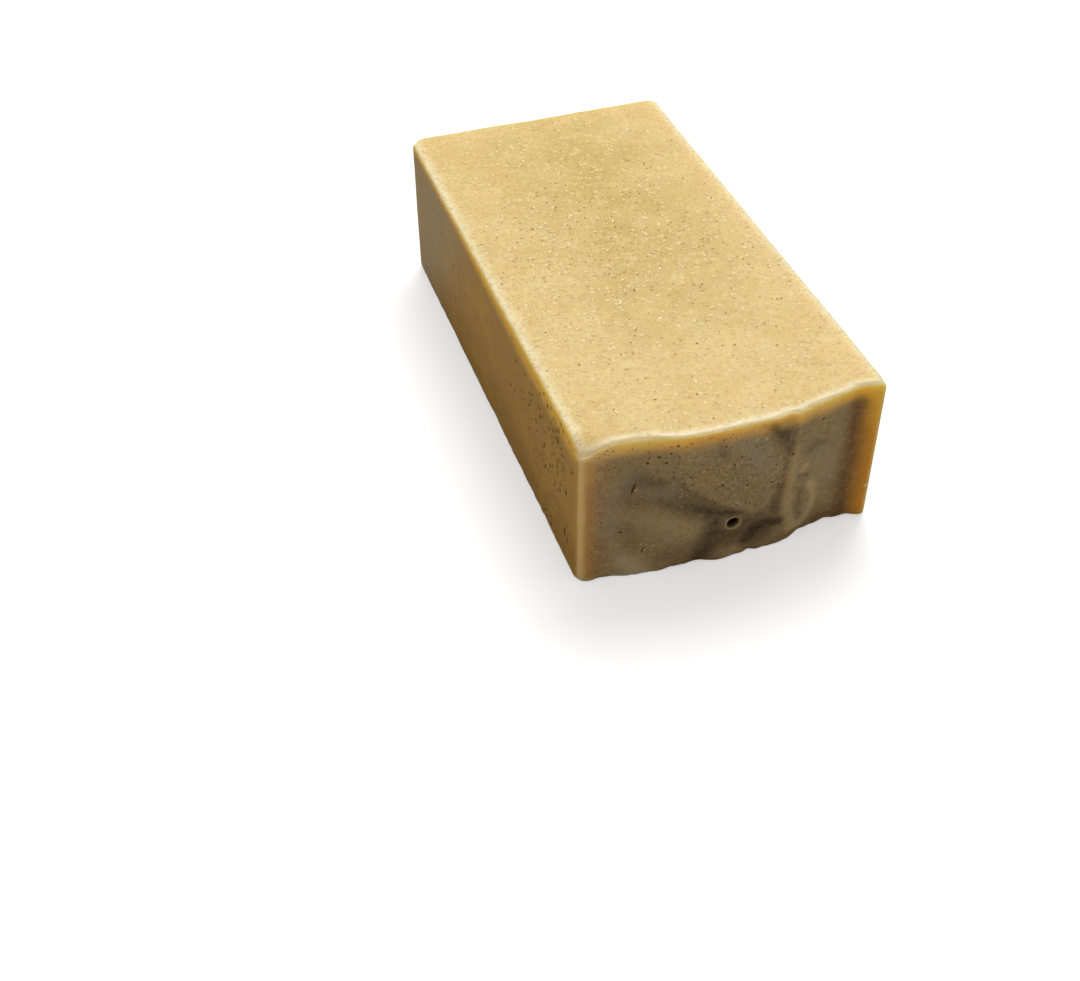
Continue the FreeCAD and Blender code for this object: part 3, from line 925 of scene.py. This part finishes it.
colour = layered(colour, (
    (times(stored("bubble_ring"), 0.5), CROWN_PALE),
    # Painted shade in the pits and the bubble.
    (times(stored("pit"), 0.95), PIT_SHADE),
    (stored("bubble"), BUBBLE_SHADE),
))
tell("with the specks")

# %% [markdown]
# ## Gloss, grain and the glow within
# Cured soap is satin. Its dried rims are a little smoother and let less light in, and the pits are dull.
# Light that enters the soap comes out again nearby, red the farthest, which is what the shader's
# subsurface values say. The grain is a bump of a few hundredths of a millimetre.

# %% Set the gloss, the grain and the glow
GRAIN_HEIGHT = 0.00004
DOT_HEIGHT = 0.00002

left_rim = ramp(add(from_left, rim_wobble), 2.2, 1, 0, 0.9)
dried = number("MAXIMUM", front_rim, times(left_rim, on_cut))
rough = less(ramp(fine, 0.3, 0.7, 0.42, 0.58), times(dried, 0.2))
rough = add(rough, times(stored("pit"), 0.4), clamp=True)
relief = add(times(grainy, GRAIN_HEIGHT), times(pale_dots, DOT_HEIGHT))
bump = node("ShaderNodeBump", {"Height": relief, "Strength": 0.6, "Distance": 1.0})
glow = less(0.8, times(dried, 0.5))
connect(colour, shader, "Base Color")
connect(rough, shader, "Roughness")
connect(bump.outputs["Normal"], shader, "Normal")
connect(glow, shader, "Subsurface Weight")
shader.inputs["Subsurface Radius"].default_value = (1, 0.7, 0.22)
shader.inputs["Subsurface Scale"].default_value = 0.0045
shader.inputs["IOR"].default_value = 1.46
body.data.materials.append(soap)
tell("soap material")

# %% [markdown]
# ## Grains and flecks that stand in the surface
# Ground meal and herb flecks stand a little proud of the cut. Hundreds of small, uneven bits are a job for
# Geometry Nodes: points are dealt out over the bar's own mesh, and each gets a flattened blob, turned and
# sized at random. The tree ends in real geometry, because instances are lost in an export.

# %% Build the tree that deals out bits


def random_vector(least, most, seed):
    """A random vector between two corners, another one for each point."""
    inputs = {0: least, 1: most, "Seed": seed}
    return node("FunctionNodeRandomValue", inputs, data_type="FLOAT_VECTOR").outputs[0]


def scatter_tree():
    """Deals out flattened blobs over a mesh. The density is read from a number stored on the mesh."""
    tree = Bench.tree = bpy.data.node_groups.new("scatter_bits", "GeometryNodeTree")
    for name, kind in (("Geometry", "Geometry"), ("Density", "Float"), ("Smallest", "Float"),
                       ("Largest", "Float"), ("Flatness", "Float"), ("Seed", "Int"),
                       ("Material", "Material"), ("Map", "String")):
        tree.interface.new_socket(name, in_out="INPUT", socket_type="NodeSocket" + kind)
    tree.interface.new_socket("Geometry", in_out="OUTPUT", socket_type="NodeSocketGeometry")
    given = tree.nodes.new("NodeGroupInput").outputs
    seed = given["Seed"]
    stored_map = node("GeometryNodeInputNamedAttribute", {"Name": given["Map"]}, data_type="FLOAT")
    density = times(stored_map.outputs["Attribute"], given["Density"])
    dealt = node("GeometryNodeDistributePointsOnFaces",
                 {"Mesh": given["Geometry"], "Density": density, "Seed": seed})
    blob = node("GeometryNodeMeshIcoSphere", {"Radius": 0.5, "Subdivisions": 1})
    rough = node("ShaderNodeTexNoise", {"Scale": 1.7, "Detail": 0.0})
    bulge = vector("SUBTRACT", rough.outputs["Color"], (0.5, 0.5, 0.5))
    shift = vector("SCALE", bulge, 0.8)
    chunk = node("GeometryNodeSetPosition", {"Geometry": blob.outputs["Mesh"], "Offset": shift})
    chance = node("FunctionNodeRandomValue", {"Seed": seed}, data_type="FLOAT")
    small_share = number("POWER", chance.outputs[1], 2.2)
    size = times(small_share, less(given["Largest"], given["Smallest"]))
    size = add(size, given["Smallest"])
    stretch = random_vector((0.7, 0.7, 0.8), (1.35, 1, 1.1), seed)
    flat_scale = node("ShaderNodeCombineXYZ", {0: 1.0, 1: 1.0, 2: given["Flatness"]})
    shaped = vector("MULTIPLY", stretch, flat_scale.outputs[0])
    scaled = vector("SCALE", shaped, size)
    spin = random_vector((0, 0, 0), (0.1, 0.1, 6.28), seed)
    turned = node("FunctionNodeRotateRotation",
                  {"Rotation": dealt.outputs["Rotation"], "Rotate By": spin}, rotation_space="LOCAL")
    placed = node("GeometryNodeInstanceOnPoints",
                  {"Points": dealt.outputs["Points"], "Instance": chunk.outputs[0],
                   "Rotation": turned.outputs[0], "Scale": scaled})
    real = node("GeometryNodeRealizeInstances", {0: placed.outputs[0]})
    facets = node("GeometryNodeSetShadeSmooth", {0: real.outputs[0], "Shade Smooth": False})
    dressed = node("GeometryNodeSetMaterial", {0: facets.outputs[0], "Material": given["Material"]})
    out = tree.nodes.new("NodeGroupOutput")
    tree.links.new(dressed.outputs[0], out.inputs[0])
    return tree


def keep_in_box(mesh):
    """Presses the points of a mesh back into the measured solid's box."""
    places = np.empty(len(mesh.vertices) * 3)
    mesh.vertices.foreach_get("co", places)
    places = np.clip(places.reshape(-1, 3), np.array(low) * MM, np.array(high) * MM)
    mesh.vertices.foreach_set("co", places.ravel())
    mesh.update()


def scatter(name, surface, values):
    """A new object with the bits that the tree deals out over a surface mesh."""
    maker = new_object(name + "_maker", surface)
    modifier = maker.modifiers.new("bits", "NODES")
    modifier.node_group = SCATTER
    for item in SCATTER.interface.items_tree:
        if item.in_out == "INPUT" and item.name in values:
            modifier[item.identifier] = values[item.name]
    evaluated = maker.evaluated_get(bpy.context.evaluated_depsgraph_get())
    mesh = bpy.data.meshes.new_from_object(evaluated)
    bpy.data.objects.remove(maker)
    mesh.name = name
    keep_in_box(mesh)
    mesh.calc_loop_triangles()
    print(f"{name}: {len(mesh.loop_triangles)} triangles")
    return new_object(name, mesh)


SCATTER = scatter_tree()
print(f"scatter tree: {len(SCATTER.nodes)} nodes")

# %% Say how thickly the bits lie
cut_face = (on_top | on_bottom) & ~on_crown & ~on_left & ~on_right & ~on_foot
crumb_share = 0.45 + 0.6 * np.exp(-(((flat_y + 5) / 32) ** 2))
store("crumb_map", np.where(cut_face & (gap_cut < ON_FACE) & (gap_side > 1.2), crumb_share, 0))
herb_share = 0.12 + 0.88 * np.exp(-((flat_x / 17) ** 2) - ((flat_y - 2) / 26) ** 2)
store("herb_map", np.where(cut_face & (gap_side > 1.0), herb_share, 0))
upper_left = np.exp(-(((flat_x + 12) / 9) ** 2) - ((flat_z - 23) / 5) ** 2)
fleck_place = on_crown & (gap_side < ON_FACE) & (gap_wall > 2) & (gap_cut > 1)
store("crown_fleck_map", np.where(fleck_place, 0.07 + 0.9 * tongue_share + 0.7 * upper_left, 0))
store("chip_map", pit_lips)
print(f"points with meal: {np.count_nonzero(cut_face & (gap_side > 1.2))}")

# %% Scatter the bits
PER_MM2 = 1e6


def bit_material(name, colour, other, roughness, gloss=0.5):
    """A grain's finish: two close colours that change from grain to grain."""
    made, shader, place = new_material(name)
    mixed = blend(ramp(lumps(place, 1.1, 2), 0.35, 0.65), colour, other)
    connect(mixed, shader, "Base Color")
    shader.inputs["Roughness"].default_value = roughness
    shader.inputs["Specular IOR Level"].default_value = gloss
    return made


meal = bit_material("pale_meal", plain(252, 226, 164), plain(240, 208, 138), 0.6)
herb = bit_material("herb_fleck", plain(158, 108, 6), plain(118, 78, 2), 0.85, 0.1)
chip = bit_material("wall_chip", plain(232, 200, 138), plain(206, 168, 100), 0.6)
char = bit_material("dark_fleck", plain(84, 54, 10), plain(50, 32, 2), 0.85, 0.1)
pieces = [body]
for name, per_mm2, smallest, largest, flatness, seed, finish, map_name in (
    ("meal_grains", 0.55, 0.16, 0.85, 0.1, 11, meal, "crumb_map"),
    ("herb_flecks", 0.75, 0.13, 0.42, 0.1, 23, herb, "herb_map"),
    ("crown_flecks", 1.1, 0.1, 0.3, 0.3, 31, char, "crown_fleck_map"),
    ("wall_chips", 2.2, 0.12, 0.4, 0.3, 47, chip, "chip_map"),
):
    pieces.append(scatter(name, body_mesh, {
        "Density": per_mm2 * PER_MM2, "Smallest": smallest * MM, "Largest": largest * MM,
        "Flatness": flatness, "Seed": seed, "Material": finish, "Map": map_name}))

# %% [markdown]
# ## Crumbs that are seen one by one
# A few grains are large enough to be known by their place. Each is a flattened pebble, given by its place,
# length, width and turn in degrees.

# %% Place the single crumbs
CROWN_CRUMBS = (
    (24.6, 6.9, 0.95, 0.8, 0), (13.3, 26.5, 1.1, 0.3, 50), (-16.25, 17.8, 1, 0.2, 20),
    (-14.5, 5.3, 0.7, 0.18, 25), (-15.2, 6.5, 0.3, 0.25, 0), (-13.2, 6, 0.35, 0.25, 10),
    (-22.2, 6.2, 0.35, 0.3, 0), (-3.1, 19.9, 0.35, 0.3, 0), (1.7, 20.2, 0.35, 0.3, 0),
    (-9, 16.2, 0.4, 0.35, 0), (-9, 13.4, 0.4, 0.3, 0), (-0.4, 11.6, 0.4, 0.3, 30),
    (20.6, 17, 0.35, 0.3, 0), (-18, 9, 0.3, 0.25, 0), (-16.8, 8.4, 0.3, 0.2, 0),
    (6, 18.7, 0.3, 0.25, 0),
)
TOP_CRUMBS = (
    (-11.5, 12, 1.1, 0.8, 20), (-12, 19, 0.9, 0.6, 70), (-2.5, 21, 1.1, 0.8, 0),
    (7, 30.5, 1.2, 0.8, 30), (9, 43.5, 1, 0.7, 0), (12.5, 32.5, 1, 0.6, 60),
    (12.3, 28.3, 0.8, 0.6, 0), (16.5, 4.5, 1, 0.6, 10), (18, 19, 0.8, 0.6, 0),
    (-15.5, -19, 1.1, 0.7, 40), (-22.5, -19.5, 2, 0.6, 10), (-23.2, -21, 1.2, 0.5, 30),
    (7.5, -20.5, 1, 0.9, 0), (-8, -28.2, 0.9, 0.6, 50), (17, -26.3, 0.8, 0.6, 0),
    (-21.5, -27.5, 0.9, 0.5, 0), (22, -17.5, 0.8, 0.6, 20), (-8.6, 33.4, 0.8, 0.6, 0),
    (-6, 28, 0.9, 0.5, 40), (3.5, -2.5, 0.8, 0.5, 0),
)
CRUMB_THICKNESS = 0.12


def crumbs(name, places, on_crown):
    """One object of flattened pebbles that lie on the crown or on the upper cut."""
    pebbles = bmesh.new()
    for a, b, long, wide, turn in places:
        if on_crown:
            y = SHOULDER_Y - float(crown_rise(np.array(a), np.array(b)))
            spot, lay = Vector((a, y, b)), Matrix.Rotation(math.radians(90), 4, "X")
        else:
            spot, lay = Vector((a, b, THICKNESS - GRAIN_ROOM)), Matrix.Identity(4)
        spin = Matrix.Rotation(math.radians(turn), 4, "Z")
        size = Matrix.Diagonal((long * MM, wide * MM, CRUMB_THICKNESS * MM, 1))
        made = bmesh.ops.create_icosphere(pebbles, subdivisions=2, radius=0.5)["verts"]
        for corner in made:
            corner.co *= 0.75 + 0.5 * noise.noise(corner.co * 3 + spot)
        bmesh.ops.transform(pebbles, matrix=Matrix.Translation(spot * MM) @ lay @ spin @ size, verts=made)
    mesh = bpy.data.meshes.new(name)
    pebbles.to_mesh(mesh)
    pebbles.free()
    mesh.materials.append(meal)
    keep_in_box(mesh)
    print(f"{name}: {len(places)} crumbs")
    return new_object(name, mesh)


pieces.append(crumbs("crown_crumbs", CROWN_CRUMBS, True))
pieces.append(crumbs("top_crumbs", TOP_CRUMBS, False))

# %% Hand the pieces to the frame
for piece in pieces:
    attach(piece, "root")
    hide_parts(NODE)
print(f"{len(pieces)} pieces stand for {NODE}")

# %% [markdown]
# ## Floor, light and camera
# The bar lies on a plain white floor. The floor is white only to the camera and grey to every other ray,
# so that it doesn't flood the sides with light: the sides of the real bar are far darker than its top.
# One large soft box behind the bar lights the upper cut, and a dim even sky fills the rest. The camera's
# place and directions were worked out from the bar's own straight edges.

# %% Lay the floor
HALF_FLOOR = 1.5
FLOOR_SEEN = (0.8, 0.8, 0.8, 1)
FLOOR_UNSEEN = (0.36, 0.31, 0.24, 1)
FLOOR_GLOW = 0.45

corners = [(a * HALF_FLOOR, b * HALF_FLOOR, 0) for a, b in ((-1, -1), (1, -1), (1, 1), (-1, 1))]
floor_mesh = bpy.data.meshes.new("floor")
floor_mesh.from_pydata(corners, [], [(0, 1, 2, 3)])
floor = new_object("floor", floor_mesh)
floor_material = bpy.data.materials.new("white_floor")
floor_material.use_nodes = True
Bench.tree = floor_material.node_tree
Bench.tree.nodes.clear()
seen = node("ShaderNodeLightPath").outputs["Is Camera Ray"]
matt = node("ShaderNodeBsdfDiffuse", {"Color": blend(seen, FLOOR_UNSEEN, FLOOR_SEEN)})
shine = node("ShaderNodeEmission", {"Strength": times(seen, FLOOR_GLOW)})
both = node("ShaderNodeAddShader", {0: matt.outputs[0], 1: shine.outputs[0]})
node("ShaderNodeOutputMaterial", {"Surface": both.outputs[0]})
floor.data.materials.append(floor_material)
print(f"floor: {2 * HALF_FLOOR} m wide")

# %% Set the light
SKY_STRENGTH = 0.5
LAMP_PLACE = Vector((0.28, 0.5, 0.85))
LAMP_TARGET = Vector((0, 0, 0.02))
LAMP_SIZE = 0.6
LAMP_POWER = 6.5

world = bpy.data.worlds.new("studio")
bpy.context.scene.world = world
world.use_nodes = True
Bench.tree = world.node_tree
Bench.tree.nodes.clear()
seen = node("ShaderNodeLightPath").outputs["Is Camera Ray"]
strength = ramp(seen, 0, 1, SKY_STRENGTH, 1)
sky = node("ShaderNodeBackground", {"Color": (1, 1, 1, 1), "Strength": strength})
node("ShaderNodeOutputWorld", {"Surface": sky.outputs[0]})
light = bpy.data.lights.new("key", "AREA")
light.size = LAMP_SIZE
light.energy = LAMP_POWER
lamp = new_object("key", light)
lamp.location = LAMP_PLACE
lamp.rotation_mode = "QUATERNION"
lamp.rotation_quaternion = (LAMP_TARGET - LAMP_PLACE).to_track_quat("-Z", "Y")
print(f"lamp: {LAMP_POWER} W, {LAMP_SIZE} m wide")

# %% Place the camera
SENSOR = 36
IMAGE_WIDTH = 1080
FOCAL_PIXELS = 1482.4
CAMERA_PLACE = Vector((-81.68, -203.36, 169.62))
RIGHT = Vector((0.9491, -0.31486, -0.00884))
DOWN = Vector((-0.21733, -0.63431, -0.7419))
FORWARD = Vector((0.22799, 0.70606, -0.67045))

camera_data = bpy.data.cameras.new("camera")
camera_data.sensor_width = SENSOR
camera_data.lens = FOCAL_PIXELS * SENSOR / IMAGE_WIDTH
camera_data.clip_start = 0.01
camera = new_object("camera", camera_data)
facing = Matrix((RIGHT, -DOWN, -FORWARD)).transposed().to_4x4()
camera.matrix_world = Matrix.Translation(CAMERA_PLACE * MM) @ facing
bpy.context.scene.camera = camera
bpy.context.scene.view_settings.view_transform = "Standard"
print(f"camera: {camera_data.lens:.1f} mm lens")

# %% Finish
bpy.context.view_layer.update()
